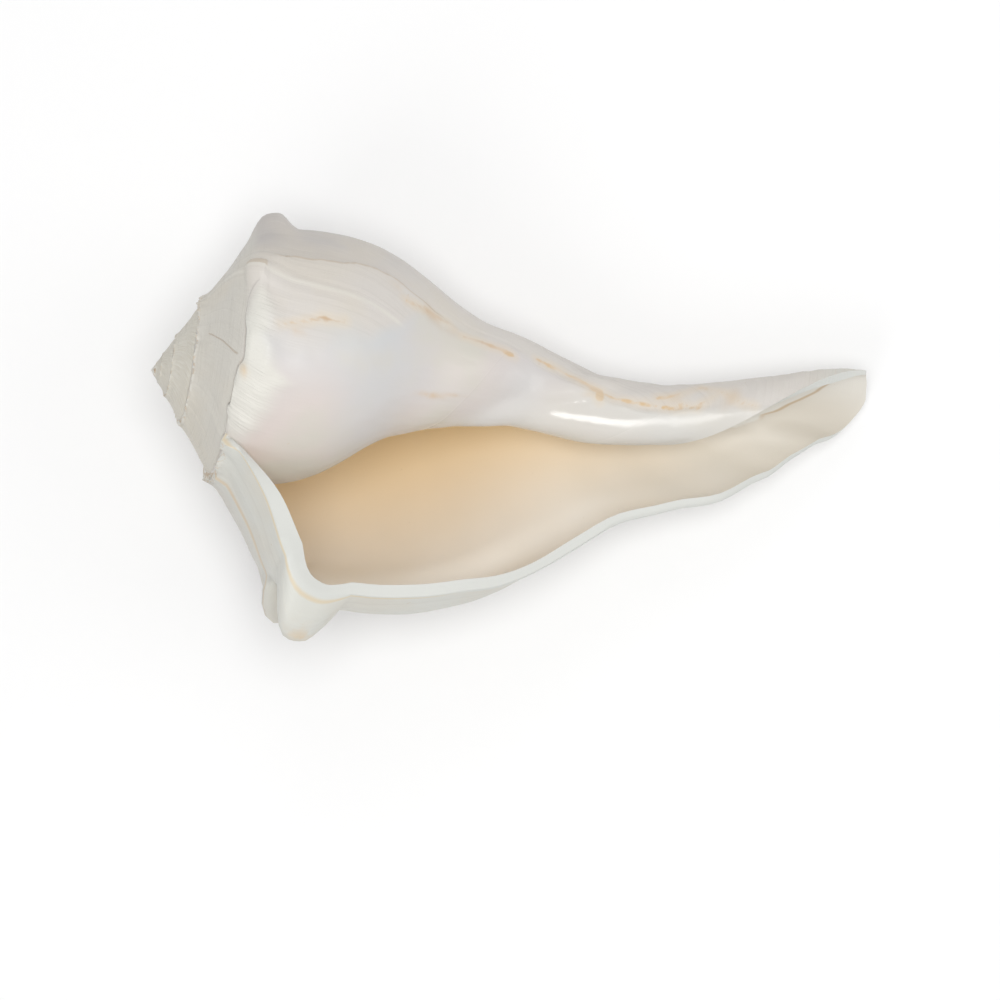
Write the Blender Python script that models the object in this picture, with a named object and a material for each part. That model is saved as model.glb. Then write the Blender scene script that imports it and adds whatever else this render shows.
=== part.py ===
"""A large left-coiling whelk shell of the conch kind, lying on its back with its mouth up.

The shell is one natural piece. Its wall grows along a similarity spiral: one outline, turned about the coiling
axis while it grows by a fixed ratio each turn, gives the spire, the body whorl and the canal. The columns of
the mesh are growth lines, each in the shape of the lip, and its rows follow the outline's stations. A whorl
shares the points of its suture with the whorl before it, so the wall closes there without a cut.
"""

import math

import bmesh
import bpy
import numpy as np
from mathutils import Matrix

# Units: lengths are in millimetres and angles in degrees until the mesh is made
MM = 0.001

# Coiling: the azimuth is 0 at the front, over the mouth, and grows towards the lip
WHORL_RATIO = 2.06
TOP_AZIMUTH = 90.0
KNOB_SPACING = 333.0 / 42 * 5
COLUMNS_PER_KNOB = 5
GROWTH_STEP = KNOB_SPACING / COLUMNS_PER_KNOB
SUTURE_COLUMNS = 42
CAVITY_COLUMNS = 51
SPIRE_COLUMNS = 198
SUTURE_AZIMUTH = 328.5
SUTURE_THICKNESS = 3.6

# The outline where it crosses the top, from the upper slope to the end of the canal. Each station has its
# distance along the axis, its radius, the extra radius of the flared lip, the azimuth of the lip there, the
# lip's thickness, and the number of rows between the station before it and this one.
STATIONS = (
    (17.9, 27.1, 0.0, 317.0, 4.5, 3),
    (24.1, 36.4, 0.0, 301.5, 6.0, 3),
    (28.6, 38.7, 0.0, 297.5, 4.2, 1),
    (32.4, 39.3, 0.0, 295.0, 3.6, 1),
    (38.9, 39.4, 0.0, 292.5, 3.7, 1),
    (46.7, 38.8, 0.0, 291.5, 3.7, 1),
    (54.4, 37.2, 0.0, 290.5, 3.5, 1),
    (62.2, 34.0, 1.2, 288.0, 3.1, 1),
    (70.0, 29.0, 2.4, 285.0, 2.6, 1),
    (77.8, 23.3, 3.1, 282.5, 2.8, 1),
    (85.5, 18.9, 2.6, 281.0, 2.5, 1),
    (94.6, 16.1, 2.6, 279.3, 2.3, 1),
    (104.7, 11.4, 4.8, 277.5, 2.2, 1),
    (114.0, 7.5, 4.4, 270.0, 2.0, 1),
    (123.1, 6.7, 1.5, 256.0, 1.9, 1),
    (133.5, 5.8, 0.0, 236.0, 1.8, 1),
    (145.2, 7.0, 0.0, 208.0, 1.6, 1),
    (158.1, 9.1, 0.0, 178.0, 1.5, 1),
    (171.1, 11.7, 0.0, 148.0, 1.4, 1),
    (182.7, 13.9, 0.0, 112.0, 1.3, 1),
    (189.7, 14.1, 0.0, 90.0, 1.3, 1),
)
COVER_STATION = 1
BELLY_STATION = 6
ROLL_STATION = 13

# Lip: its flare begins this turn behind it, and a low swelling runs along it
FLARE_TURN = 150.0
LIP_SWELL = 2.2
SWELL_TURN = 34.0
SWELL_REACH = 38.0

# Knobs on the shoulder: their height against growth, low where the glaze of the mouth buries them
KNOB_HEIGHTS = (
    (-1600.0, 2.3),
    (-365.0, 2.3),
    (-325.0, 1.0),
    (-285.0, 1.2),
    (-246.0, 2.4),
    (-206.0, 4.3),
    (-47.0, 7.2),
    (0.0, 9.0),
)
KNOB_HALF_TURN = 14.0
KNOB_TURN_TO_LIP = 11.0
KNOB_FLAT = 0.2
KNOB_REACH_TO_SPIRE = 8.0
KNOB_REACH_TO_CANAL = 7.4
KNOB_LEANS = (
    (-1600.0, -0.25),
    (-246.0, -0.25),
    (-206.0, -0.05),
    (-166.0, -0.25),
    (-87.0, 0.0),
    (-47.0, 0.08),
    (0.0, -0.45),
)
KNOB_WIDER_AT_LIP = 0.1
COVERED_KNOB_SHARE = 0.4
SPOUT_SHARE = 0.4
SPOUT_SHARE_AT_LIP = 0.9
SPOUT_TURN = 1.5 * KNOB_SPACING

# Columella: glaze thickens it between these distances along the outline, with a ramp at either end
COLUMELLA_GLAZE = 5.2
GLAZE_FROM = 98.0
GLAZE_TO = 197.0
GLAZE_RISE = 25.0
GLAZE_FALL = 30.0
GLAZE_TURN = 80.0

# Wall: its thickness in the body and in the canal, and the turn over which it thins to the lip
WALL = 5.1
CANAL_WALL = 2.6
LIP_TURN = 30.0
ROLL_FILL_TURN = 120.0
EDGE_COLUMNS = 19
TAIL_COLUMNS = 36
SUTURE_BLEND = 16.0
SLOPE_STEP = 0.05

# Rest: the direction of up in the laid frame, and the depth worn flat where the shell stands
REST_UP = (-0.215, 0.056, 0.975)
REST_WEAR = 0.4

# Look
SHELL_COLOUR = (0.78, 0.75, 0.68, 1.0)
SHELL_ROUGHNESS = 0.35
SHARP_ANGLE = 40.0


def smooth(value, low, high):
    """0 below low, 1 above high, and an S-curve between them."""
    share = np.clip((np.asarray(value, float) - low) / (high - low), 0, 1)
    return share * share * (3 - 2 * share)


def bell(value, centre, reach):
    """1 at the centre, falling smoothly to 0 at this reach on either side."""
    return np.cos(np.clip(np.abs(value - centre) / reach, 0, 1) * math.pi / 2) ** 2


def monotone_curve(stations, values):
    """A smooth curve through the values that never overshoots them."""
    x = np.asarray(stations, float)
    y = np.asarray(values, float)
    step = np.diff(x)
    slope = np.diff(y) / step
    tangent = np.r_[slope[0], np.zeros(len(x) - 2), slope[-1]]
    for k in range(1, len(x) - 1):
        if slope[k - 1] * slope[k] > 0:
            tangent[k] = 2 * slope[k - 1] * slope[k] / (slope[k - 1] + slope[k])

    def curve(at):
        at = np.asarray(at, float)
        k = np.clip(np.searchsorted(x, at, side="right") - 1, 0, len(step) - 1)
        t = (at - x[k]) / step[k]
        rise = y[k] * (2 * t**3 - 3 * t**2 + 1) + y[k + 1] * (3 * t**2 - 2 * t**3)
        return rise + step[k] * (tangent[k] * (t**3 - 2 * t**2 + t) + tangent[k + 1] * (t**3 - t**2))

    return curve


class Outline:
    """The outline's stations as curves over the distance along it, and the rows of the mesh."""

    def __init__(self, stations):
        table = np.array(stations, float)
        cover = table[COVER_STATION]
        first = [cover[0] / WHORL_RATIO, cover[1] / WHORL_RATIO, 0, SUTURE_AZIMUTH, SUTURE_THICKNESS, 0]
        table = np.vstack([first, table])
        self.along = np.r_[0, np.cumsum(np.hypot(*np.diff(table[:, :2], axis=0).T))]
        self.axial, self.radius, self.flare, self.lip, self.lip_wall = (
            monotone_curve(self.along, table[:, column]) for column in range(5)
        )
        rows = [0.0]
        for k, count in enumerate(table[1:, 5].astype(int)):
            rows.extend(self.along[k] + (self.along[k + 1] - self.along[k]) * (np.arange(count) + 1) / count)
        self.rows = np.array(rows)
        self.cover_along = self.along[COVER_STATION + 1]
        self.inner_along = self.along[COVER_STATION + 2]
        self.belly_along = self.along[BELLY_STATION + 1]
        self.roll_along = self.along[ROLL_STATION + 1]
        self.end = self.along[-1]
        self.cover_row = int(np.argmin(abs(self.rows - self.cover_along)))
        self.inner_row = int(np.argmin(abs(self.rows - self.inner_along)))
        self.roll_row = int(np.argmin(abs(self.rows - self.roll_along)))
        self.knob_along = self.inner_along

    def last_row(self, column):
        """The last row of a column: deep inside, the canal's end draws back to the columella."""
        drawn_back = np.maximum(np.asarray(column) - TAIL_COLUMNS, 0)
        return np.maximum(len(self.rows) - 1 - drawn_back, self.roll_row + 1)


OUTLINE = Outline(STATIONS)
KNOB_HEIGHT = monotone_curve(*zip(*KNOB_HEIGHTS))
KNOB_LEAN = monotone_curve(*zip(*KNOB_LEANS))
SUTURE_TURN = SUTURE_COLUMNS * GROWTH_STEP


def scale_at(azimuth):
    return WHORL_RATIO ** ((azimuth - TOP_AZIMUTH) / 360)


def placed(axial, radius, azimuth):
    """The point in the laid shell's frame: +X along the axis to the canal, +Z to the front, +Y to the top."""
    turn = np.radians(azimuth)
    return np.stack([axial, radius * np.sin(turn), radius * np.cos(turn)], -1)


def knob_rise(growth, along):
    """How far the knobs raise the surface, before the whorl's scale."""
    from_knob = (growth + GROWTH_STEP + KNOB_SPACING / 2) % KNOB_SPACING - KNOB_SPACING / 2
    offset = along - OUTLINE.knob_along
    wider = 1 + KNOB_WIDER_AT_LIP * smooth(growth, -KNOB_SPACING, 0)
    reach = wider * np.where(offset < 0, KNOB_REACH_TO_SPIRE, KNOB_REACH_TO_CANAL)
    uncovered = smooth(growth, -SUTURE_TURN, -SUTURE_TURN + KNOB_SPACING)
    inside = np.where(along > OUTLINE.cover_along + SLOPE_STEP, COVERED_KNOB_SHARE, 1.0)
    height = KNOB_HEIGHT(growth) * (inside + (1 - inside) * uncovered)
    half_turn = np.where(from_knob > 0, KNOB_TURN_TO_LIP, KNOB_HALF_TURN)
    across = 1 - smooth(np.abs(from_knob), KNOB_FLAT * half_turn, half_turn)
    down = 1 - smooth(np.abs(offset), KNOB_FLAT * reach, reach)
    return height * across * down


def plain_outer(growth, along):
    """The outer surface without knobs."""
    growth, along = np.broadcast_arrays(np.asarray(growth, float), np.asarray(along, float))
    azimuth = growth + OUTLINE.lip(along)
    swell = LIP_SWELL * bell(growth, -SWELL_TURN / 2, SWELL_TURN / 2) * bell(along, OUTLINE.belly_along, SWELL_REACH)
    glaze = COLUMELLA_GLAZE * smooth(-azimuth, 0, GLAZE_TURN) * smooth(along, GLAZE_FROM, GLAZE_FROM + GLAZE_RISE)
    glaze = glaze * (1 - smooth(along, GLAZE_TO - GLAZE_FALL, GLAZE_TO))
    radius = OUTLINE.radius(along) + OUTLINE.flare(along) * smooth(growth, -FLARE_TURN, 0) + swell + glaze
    scale = scale_at(azimuth)
    return placed(scale * OUTLINE.axial(along), scale * radius, azimuth)


def raised(growth, along, rise):
    """The step outwards by this rise at a point of the surface."""
    azimuth = growth + OUTLINE.lip(along)
    rise = rise * scale_at(azimuth)
    return placed(KNOB_LEAN(growth) * rise, rise, azimuth)


def outer(growth, along):
    """The outer surface with its knobs, which also lift the suture of the whorl that covers them."""
    growth, along = np.broadcast_arrays(np.asarray(growth, float), np.asarray(along, float))
    points = plain_outer(growth, along) + raised(growth, along, knob_rise(growth, along))
    lift = raised(growth - SUTURE_TURN, OUTLINE.cover_along, knob_rise(growth - SUTURE_TURN, OUTLINE.cover_along))
    return points + lift * (1 - smooth(along, 0, SUTURE_BLEND))[..., None]


def wall_thickness(growth, along):
    azimuth = growth + OUTLINE.lip(along)
    body = WALL + (CANAL_WALL - WALL) * smooth(along, OUTLINE.belly_along, OUTLINE.roll_along)
    deep = body * scale_at(azimuth) / scale_at(OUTLINE.lip(along))
    return deep + (OUTLINE.lip_wall(along) - deep) * smooth(growth, -LIP_TURN, 0)


def inward(growth, along):
    """The unit normal of the plain outer surface, into the wall."""
    by_growth = plain_outer(growth + SLOPE_STEP, along) - plain_outer(growth - SLOPE_STEP, along)
    low = np.clip(along - SLOPE_STEP, 0, OUTLINE.end)
    high = np.clip(along + SLOPE_STEP, 0, OUTLINE.end)
    by_along = plain_outer(growth, high) - plain_outer(growth, low)
    normal = np.cross(by_growth, by_along)
    return normal / np.linalg.norm(normal, axis=-1, keepdims=True)


def inner(column, along):
    """The inner surface: it hugs the wall, and in the older canal it closes the roll into the columella."""
    column, along = np.broadcast_arrays(column, np.asarray(along, float))
    growth = -GROWTH_STEP * column
    last_along = OUTLINE.rows[OUTLINE.last_row(column)]
    edge_turn = EDGE_COLUMNS * GROWTH_STEP
    edge_share = smooth(growth, -edge_turn, -edge_turn / 2)
    end_share = smooth(along, OUTLINE.roll_along, last_along)
    thickness = wall_thickness(growth, along) * (1 - end_share * (1 - edge_share))
    hug = plain_outer(growth, along) + inward(growth, along) * thickness[..., None]
    spout = SPOUT_SHARE * smooth(growth, -SPOUT_TURN, -GROWTH_STEP)
    spout = spout + (SPOUT_SHARE_AT_LIP - spout) * smooth(growth, -GROWTH_STEP, 0)
    hug = hug + raised(growth, along, spout * knob_rise(growth, along))
    start_at = np.full_like(along, OUTLINE.roll_along)
    start = plain_outer(growth, start_at) + inward(growth, start_at) * wall_thickness(growth, start_at)[..., None]
    edge = inward(growth, last_along) * (wall_thickness(growth, last_along) * edge_share)[..., None]
    end = plain_outer(growth, last_along) + edge
    share = np.clip((along - OUTLINE.roll_along) / (last_along - OUTLINE.roll_along), 0, 1)[..., None]
    chord = start + (end - start) * share
    drawn_back = smooth(column, TAIL_COLUMNS, TAIL_COLUMNS + len(OUTLINE.rows) - OUTLINE.roll_row)
    fill = (smooth(-growth, 0, ROLL_FILL_TURN) * (1 - drawn_back) * (along > OUTLINE.roll_along))[..., None]
    points = hug + (chord - hug) * fill
    first = np.zeros_like(along)
    own = plain_outer(growth, first) + inward(growth, first) * wall_thickness(growth, first)[..., None]
    seat = outer(growth - SUTURE_TURN, OUTLINE.inner_along)
    return points + (seat - own) * (1 - smooth(along, 0, SUTURE_BLEND))[..., None]


# The mesh


class Growth:
    """The shell's mesh in its laid frame: points by column and row, and the faces between them."""

    def __init__(self):
        rows = OUTLINE.rows
        self.last = len(rows) - 1
        spire = np.arange(SPIRE_COLUMNS + 1)[:, None]
        cavity = np.arange(CAVITY_COLUMNS + 1)[:, None]
        self.outside = outer(-GROWTH_STEP * spire, rows[None, :])
        self.inside = inner(cavity, rows[None, :])
        self.mesh = bmesh.new()
        self.made = {}

    def point(self, key, position):
        if key not in self.made:
            self.made[key] = self.mesh.verts.new(position)
        return self.made[key]

    def out(self, column, row):
        """A point of the outer surface. The suture is the covered whorl's own row."""
        if row == 0 and column + SUTURE_COLUMNS <= SPIRE_COLUMNS:
            return self.out(column + SUTURE_COLUMNS, OUTLINE.cover_row)
        return self.point(("out", column, row), self.outside[column, row])

    def into(self, column, row):
        """A point of the inner surface, which meets the outer one at the suture and at the old canal's end."""
        if row == 0:
            return self.out(column + SUTURE_COLUMNS, OUTLINE.inner_row)
        if row == OUTLINE.last_row(column) and column >= EDGE_COLUMNS:
            return self.out(column, row)
        return self.point(("into", column, row), self.inside[column, row])

    def face(self, *corners):
        corners = list(dict.fromkeys(corners))
        if len(corners) > 2:
            self.mesh.faces.new(corners)

    def cell(self, at, column, row, turned):
        """The face from one growth line to the next, or the half of it where the canal's end draws back."""
        here, older = OUTLINE.last_row(column), OUTLINE.last_row(column + 1)
        if row >= here or row > older:
            return
        corners = [at(column, row), at(column + 1, row), at(column + 1, row + 1), at(column, row + 1)]
        if row == older:
            corners.pop(2)
        self.face(*(corners[::-1] if turned else corners))

    def outer_sheet(self):
        for column in range(SPIRE_COLUMNS):
            for row in range(self.last):
                on_slope = row < OUTLINE.cover_row
                in_wall = OUTLINE.cover_row <= row < OUTLINE.inner_row
                deepest = SUTURE_COLUMNS if in_wall else CAVITY_COLUMNS + SUTURE_COLUMNS
                if on_slope or column < deepest:
                    self.cell(self.out, column, row, False)

    def inner_sheet(self):
        for column in range(CAVITY_COLUMNS):
            for row in range(self.last):
                self.cell(self.into, column, row, True)

    def rims(self):
        """The lip's rim, and the thin edge of the canal and columella."""
        for row in range(self.last):
            self.face(self.out(0, row), self.out(0, row + 1), self.into(0, row + 1), self.into(0, row))
        for column in range(EDGE_COLUMNS):
            older = column + 1
            end = self.last
            self.face(self.out(column, end), self.out(older, end), self.into(older, end), self.into(column, end))

    def blind_end(self):
        """The wall at the bottom of the hollow, zipped from its newest growth line to the whorl before it."""
        end = CAVITY_COLUMNS
        first = end + SUTURE_COLUMNS
        new_side = [self.into(end, row) for row in range(int(OUTLINE.last_row(end)), -1, -1)]
        old_side = [self.out(column, int(OUTLINE.last_row(column))) for column in range(end, first)]
        old_side += [self.out(first, row) for row in range(int(OUTLINE.last_row(first)), OUTLINE.inner_row - 1, -1)]
        while len(new_side) > 1 or len(old_side) > 1:
            new_next = new_side[1].co.x if len(new_side) > 1 else -math.inf
            old_next = old_side[1].co.x if len(old_side) > 1 else -math.inf
            side = new_side if new_next >= old_next else old_side
            self.face(new_side[0], old_side[0], side[1])
            side.pop(0)

    def apex_cap(self):
        loop = [self.out(column, 0) for column in range(SPIRE_COLUMNS - SUTURE_COLUMNS, SPIRE_COLUMNS + 1)]
        loop += [self.out(SPIRE_COLUMNS, row) for row in range(1, OUTLINE.cover_row)]
        tip = self.point("apex", (0, 0, 0))
        for here, onward in zip(loop, loop[1:] + loop[:1]):
            self.face(onward, here, tip)


def set_down(mesh):
    """Turns the laid shell onto its back, grinds the flat spots that it rests on, and centres it."""
    up = np.array(REST_UP) / np.linalg.norm(REST_UP)
    along = np.array([1.0, 0, 0]) - up * up[0]
    along /= np.linalg.norm(along)
    rest = Matrix(np.array([along, np.cross(up, along), up]).tolist()).to_4x4()
    bmesh.ops.transform(mesh, matrix=rest, verts=mesh.verts)
    low = min(vert.co.z for vert in mesh.verts) + REST_WEAR
    everything = mesh.verts[:] + mesh.edges[:] + mesh.faces[:]
    bmesh.ops.bisect_plane(mesh, geom=everything, plane_co=(0, 0, low), plane_no=(0, 0, -1), clear_outer=True)
    bmesh.ops.holes_fill(mesh, edges=mesh.edges[:])
    box = np.array([vert.co[:] for vert in mesh.verts])
    middle = (box.min(axis=0) + box.max(axis=0)) / 2
    bmesh.ops.translate(mesh, vec=(-middle[0], -middle[1], -low), verts=mesh.verts)
    bmesh.ops.scale(mesh, vec=(MM, MM, MM), verts=mesh.verts)


def shell_material():
    material = bpy.data.materials.new("shell")
    material.use_nodes = True
    surface = material.node_tree.nodes["Principled BSDF"]
    surface.inputs["Base Color"].default_value = SHELL_COLOUR
    surface.inputs["Roughness"].default_value = SHELL_ROUGHNESS
    surface.inputs["Metallic"].default_value = 0.0
    return material


def build_shell(collection):
    growth = Growth()
    growth.outer_sheet()
    growth.inner_sheet()
    growth.rims()
    growth.blind_end()
    growth.apex_cap()
    bmesh.ops.recalc_face_normals(growth.mesh, faces=growth.mesh.faces)
    set_down(growth.mesh)
    data = bpy.data.meshes.new("shell")
    growth.mesh.to_mesh(data)
    growth.mesh.free()
    data.shade_smooth()
    data.set_sharp_from_angle(angle=math.radians(SHARP_ANGLE))
    data.materials.append(shell_material())
    collection.objects.link(bpy.data.objects.new("shell", data))


def main():
    for thing in list(bpy.data.objects):
        bpy.data.objects.remove(thing)
    collection = bpy.data.collections.new("conch_shell")
    bpy.context.scene.collection.children.link(collection)
    build_shell(collection)


main()
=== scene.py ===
"""The look of a large left-coiling whelk shell, lying on its back with its mouth up.

The visual shell grows from the same outline as the solid, on a mesh with finer growth lines and rows, and
with the low relief that the solid leaves out: growth ridges, the suture's ledge, the glaze that the mouth laid
over the last whorl, the broken knob and the rounded lip. Its material reads where each face corner lies on the
shell: the turn that it grew at, in degrees, and the distance along the outline, in millimetres.
"""

import math

import bpy
import numpy as np
from mathutils import Matrix, Vector


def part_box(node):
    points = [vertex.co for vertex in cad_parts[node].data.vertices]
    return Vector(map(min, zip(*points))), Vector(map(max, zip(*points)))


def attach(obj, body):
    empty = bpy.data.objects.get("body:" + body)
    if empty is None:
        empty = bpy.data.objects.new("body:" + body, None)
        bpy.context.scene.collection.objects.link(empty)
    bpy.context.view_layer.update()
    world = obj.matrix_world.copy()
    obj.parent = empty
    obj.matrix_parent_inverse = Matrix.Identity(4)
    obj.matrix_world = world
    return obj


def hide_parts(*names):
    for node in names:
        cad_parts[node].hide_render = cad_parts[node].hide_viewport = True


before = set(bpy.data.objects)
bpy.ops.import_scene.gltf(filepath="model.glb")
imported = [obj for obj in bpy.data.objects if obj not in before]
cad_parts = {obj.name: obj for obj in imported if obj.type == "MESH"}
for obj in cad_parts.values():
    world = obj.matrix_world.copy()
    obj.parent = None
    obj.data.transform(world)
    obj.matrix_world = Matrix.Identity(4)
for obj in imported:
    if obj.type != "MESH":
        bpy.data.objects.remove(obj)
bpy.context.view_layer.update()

# Units: lengths are in millimetres and angles in degrees until the mesh is made
MM = 0.001

# Coiling: the azimuth is 0 at the front, over the mouth, and grows towards the lip
WHORL_RATIO = 2.06
TOP_AZIMUTH = 90.0
KNOB_SPACING = 333.0 / 42 * 5
KNOB_BEHIND_LIP = KNOB_SPACING / 5
SUTURE_TURN = 333.0
SUTURE_COLUMNS = 210
GROWTH_STEP = SUTURE_TURN / SUTURE_COLUMNS
CAVITY_COLUMNS = 255
COLUMNS_PER_SOLID_COLUMN = 5
ROWS_PER_SOLID_ROW = 4
CANAL_ROWS_PER_SOLID_ROW = 5
SPIRE_COLUMNS = 990
SUTURE_AZIMUTH = 328.5
SUTURE_THICKNESS = 3.6

# The outline where it crosses the top, from the upper slope to the end of the canal. Each station has its
# distance along the axis, its radius, the extra radius of the flared lip, the azimuth of the lip there, the
# lip's thickness, and the number of rows between the station before it and this one.
STATIONS = (
    (17.9, 27.1, 0.0, 317.0, 4.5, 12),
    (24.1, 36.4, 0.0, 301.5, 6.0, 12),
    (28.6, 38.7, 0.0, 297.5, 4.2, 4),
    (32.4, 39.3, 0.0, 295.0, 3.6, 4),
    (38.9, 39.4, 0.0, 292.5, 3.7, 4),
    (46.7, 38.8, 0.0, 291.5, 3.7, 4),
    (54.4, 37.2, 0.0, 290.5, 3.5, 4),
    (62.2, 34.0, 1.2, 288.0, 3.1, 4),
    (70.0, 29.0, 2.4, 285.0, 2.6, 4),
    (77.8, 23.3, 3.1, 282.5, 2.8, 4),
    (85.5, 18.9, 2.6, 281.0, 2.5, 4),
    (94.6, 16.1, 2.6, 279.3, 2.3, 4),
    (104.7, 11.4, 4.8, 277.5, 2.2, 4),
    (114.0, 7.5, 4.4, 270.0, 2.0, 4),
    (123.1, 6.7, 1.5, 256.0, 1.9, 5),
    (133.5, 5.8, 0.0, 236.0, 1.8, 5),
    (145.2, 7.0, 0.0, 208.0, 1.6, 5),
    (158.1, 9.1, 0.0, 178.0, 1.5, 5),
    (171.1, 11.7, 0.0, 148.0, 1.4, 5),
    (182.7, 13.9, 0.0, 112.0, 1.3, 5),
    (189.7, 14.1, 0.0, 90.0, 1.3, 5),
)
COVER_STATION = 1
BELLY_STATION = 6
ROLL_STATION = 13

# Lip: its flare begins this turn behind it, and a low swelling runs along it
FLARE_TURN = 150.0
LIP_SWELL = 2.2
SWELL_TURN = 34.0
SWELL_REACH = 38.0

# Knobs on the shoulder: their height against growth, low where the glaze of the mouth buries them
KNOB_HEIGHTS = (
    (-1600.0, 2.3),
    (-365.0, 2.3),
    (-325.0, 1.0),
    (-285.0, 1.2),
    (-246.0, 1.2),
    (-206.0, 4.3),
    (-47.0, 7.2),
    (0.0, 8.6),
)
KNOB_HALF_TURN = 14.0
KNOB_TURN_TO_LIP = 11.0
KNOB_FLAT = 0.2
KNOB_REACH_TO_SPIRE = 8.0
KNOB_REACH_TO_CANAL = 7.4
KNOB_LEANS = (
    (-1600.0, -0.25),
    (-246.0, -0.25),
    (-206.0, -0.05),
    (-166.0, -0.25),
    (-87.0, 0.0),
    (-47.0, 0.08),
    (0.0, -0.45),
)
KNOB_WIDER_AT_LIP = 0.1
# The newest knob is narrower on the spire's side, and its profile is partly round, like the end of a thumb
KNOB_NARROWER_TO_SPIRE = 2.6
THUMB_SHARE = 0.6
THUMB_REACH = 6.4
COVERED_KNOB_SHARE = 0.4
SPOUT_SHARE = 0.4
SPOUT_SHARE_AT_LIP = 0.9
SPOUT_TURN = 1.5 * KNOB_SPACING

# Columella: glaze thickens it between these distances along the outline, with a ramp at either end
COLUMELLA_GLAZE = 5.2
GLAZE_FROM = 98.0
GLAZE_TO = 197.0
GLAZE_RISE = 25.0
GLAZE_FALL = 30.0
GLAZE_TURN = 80.0

# Wall: its thickness in the body and in the canal, and the turn over which it thins to the lip
WALL = 5.1
CANAL_WALL = 2.6
LIP_TURN = 30.0
ROLL_FILL_TURN = 120.0
EDGE_COLUMNS = 95
TAIL_COLUMNS = 180
TAIL_ROWS = 40
ROLL_ROWS = 5
SUTURE_BLEND = 16.0
SLOPE_STEP = 0.05

# Growth lines: how far the lines wander, and the turns and heights in millimetres of the strong growth halts
LINE_WANDER = 2.6
HALTS = (
    (-6.0, 0.1),
    (-15.0, 0.14),
    (-27.0, 0.3),
    (-41.0, 0.16),
    (-72.0, 0.14),
    (-118.0, 0.3),
    (-149.0, 0.14),
    (-187.0, 0.2),
    (-243.5, 0.2),
    (-249.5, 0.6),
    (-254.5, 0.34),
    (-275.0, 0.12),
)
SPIRE_HALT_SPACING = 43.0
HALT_FALL = 1.6
HALT_REACH = 9.0

# Suture: the newer whorl's edge makes a ledge with crumbs on it
LEDGE_HEIGHT = 0.9
LEDGE_PEAK = 0.9
LEDGE_REACH = 4.5
CRUMB_HEIGHT = 1.3
CRUMB_REACH = 2.6

# The strongest growth halt, across the front: its place as the distance along the outline and the turn there
LONG_HALT = (
    (18.0, -236.0),
    (27.0, -238.0),
    (30.4, -239.5),
    (35.1, -236.5),
    (42.5, -236.0),
    (47.2, -234.2),
    (58.7, -227.5),
    (72.9, -223.5),
    (90.0, -222.0),
)
LONG_HALT_HEIGHT = 0.4

# Glaze over the last whorl beside the mouth: its edge, as the distance along the outline and the turn there
GLAZE_EDGE = (
    (22.0, -270.0),
    (26.6, -258.5),
    (32.6, -266.7),
    (42.0, -268.0),
    (57.0, -264.5),
    (68.0, -246.0),
    (77.0, -228.0),
    (90.0, -219.0),
    (100.0, -216.0),
    (112.0, -207.0),
    (132.0, -206.0),
    (148.3, -203.0),
    (158.9, -188.3),
    (168.3, -171.9),
    (177.1, -148.4),
    (192.5, -94.6),
    (200.0, -60.0),
)
# The columella's glaze rolls over into the canal as far as a curved line, between these distances along the
# outline. From its first turn it slants evenly and hooks near its end, and before its start it falls back steeply.
CANAL_GLAZE_ALONG = (135.0, 182.5)
CANAL_GLAZE_TURN = -49.0
CANAL_GLAZE_SLANT = 9.0
CANAL_GLAZE_HOOK = 10.5
CANAL_GLAZE_FALL = 6.0

GLAZE_THICKNESS = 0.3
GLAZE_EDGE_TURN = 9.0

# The thick scaly patch of glaze on the shoulder: the turn, and its sides' two distances along the outline
SCALE_PATCH = (
    (-345.0, 22.0, 29.0),
    (-314.4, 21.3, 33.0),
    (-309.0, 21.9, 36.0),
    (-296.8, 22.9, 38.0),
    (-291.3, 24.2, 36.5),
    (-284.0, 24.0, 33.0),
    (-270.6, 22.4, 33.0),
    (-266.7, 22.9, 32.4),
    (-261.0, 24.6, 29.6),
    (-256.5, 26.2, 26.9),
)
SCALE_PATCH_HEIGHT = 0.6

# The broken knob at the front: a column that ends in a flat break
COLUMN_ALONG = 25.2
COLUMN_HALF_WIDTH = 4.0
COLUMN_BREAK = (-250.6, -243.0)
COLUMN_END = -268.0
COLUMN_HEIGHT = 2.3

# The spur at the shoulder: the broken end of an older lip, which stands out beside the newest knob
SPUR_TURN = -30.0
SPUR_BREAK = -25.4
SPUR_ALONG = (20.0, 26.0)
SPUR_HEIGHT = 6.0
SPUR_RISE_TURN = 12.0
SPUR_DROP = 7.0
SPUR_BREAK_TURN = 1.6

# Veins: the half width in millimetres, then the turn and the distance along the outline of each corner
VEINS = (
    (0.25, (-226.7, 89.9), (-225.0, 94.7), (-224.6, 101.1), (-223.4, 105.3)),
    (0.3, (-233.9, 68.5), (-231.4, 72.0), (-226.5, 77.2), (-223.7, 84.4)),
    (0.35, (-210.0, 111.0), (-202.2, 116.9), (-203.2, 123.5), (-206.4, 132.0), (-206.9, 138.3)),
    (0.7, (-206.9, 138.3), (-213.3, 142.6)),
    (0.15, (-206.0, 142.6), (-203.5, 148.3), (-188.3, 158.9), (-171.9, 168.3), (-148.4, 177.1)),
    (0.12, (-172.0, 160.0), (-155.0, 163.3), (-134.6, 164.2), (-126.0, 174.3), (-110.0, 186.3)),
    (0.1, (-126.0, 174.3), (-148.4, 177.1), (-160.0, 170.0)),
    (0.1, (-110.0, 186.3), (-94.6, 192.5)),
    (0.15, (-272.2, 33.2), (-268.4, 38.8), (-265.4, 44.3), (-264.0, 51.8)),
)
CRACK_TURN = -293.0
CRACK_ALONG = (5.2, 21.8)
# The middle of the crack lies a quarter of this turn to the older side of its ends
CRACK_SAG = 12.0
FARTHEST_VEIN = 4.0

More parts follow.
